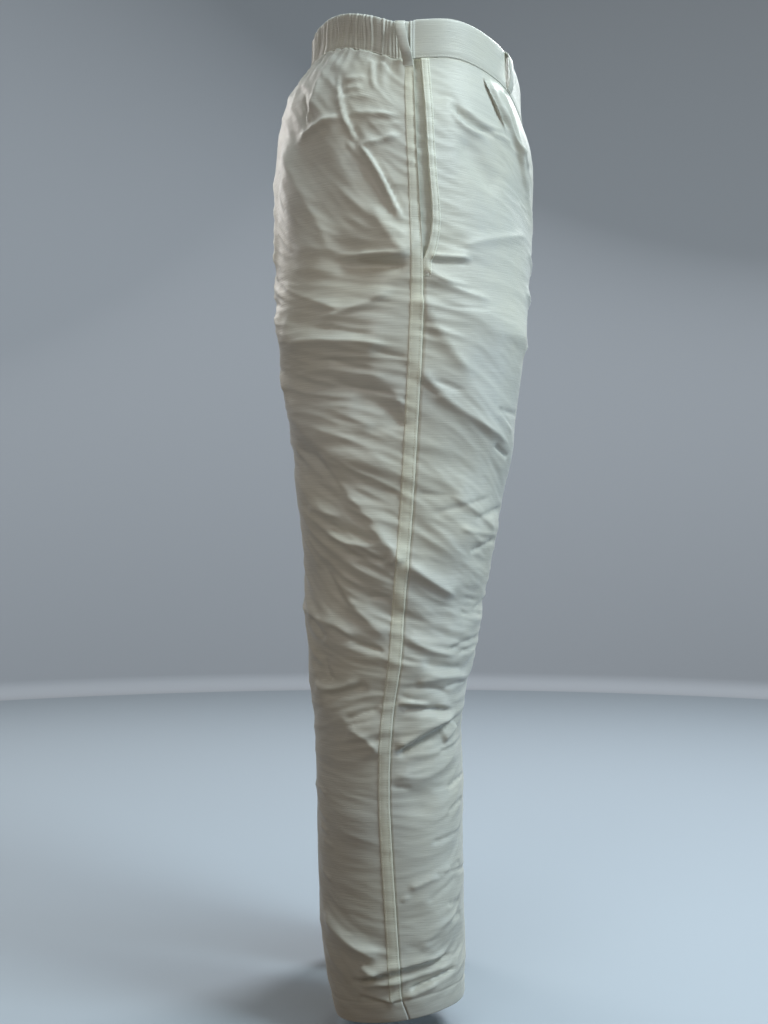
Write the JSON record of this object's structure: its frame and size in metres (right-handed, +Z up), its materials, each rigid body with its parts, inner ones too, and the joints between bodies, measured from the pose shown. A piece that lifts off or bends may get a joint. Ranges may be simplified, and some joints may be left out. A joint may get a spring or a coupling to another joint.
{
  "type": "pyjama trousers",
  "caption": "Worn full-length pyjama trousers in crisp ivory silk, with a flat front waistband, elastic-gathered back, forward pleats, side pockets, belt loops and felled outer seams.",
  "frame": {"origin": "middle of the waist opening, half-way up the waistband at the side seams, where the wearer holds the trousers up", "axes": "+Z up along the body, -Y to the wearer's front, -X to the wearer's right"},
  "size_m": [0.3914, 0.2923, 1.0639],
  "materials": {
    "ivory_silk": "crisp plain-weave silk with fine level slubs and a soft sheen",
    "doubled_silk": "the same silk where it lies double or triple, slightly yellower"
  },
  "bodies": {
    "root": {"front_right": "ivory_silk", "front_left": "ivory_silk", "back_right": "ivory_silk", "back_left": "ivory_silk", "pocket_facing_right": "ivory_silk", "pocket_facing_left": "ivory_silk", "belt_loop_side_right": "ivory_silk", "belt_loop_side_left": "ivory_silk", "belt_loop_front_right": "ivory_silk", "belt_loop_front_left": "ivory_silk", "waistband_front": "ivory_silk", "waistband_back": "ivory_silk", "side_seam_right": "doubled_silk", "side_seam_left": "doubled_silk", "pocket_edge_right": "doubled_silk", "pocket_edge_left": "doubled_silk"}
  },
  "joints": []
}
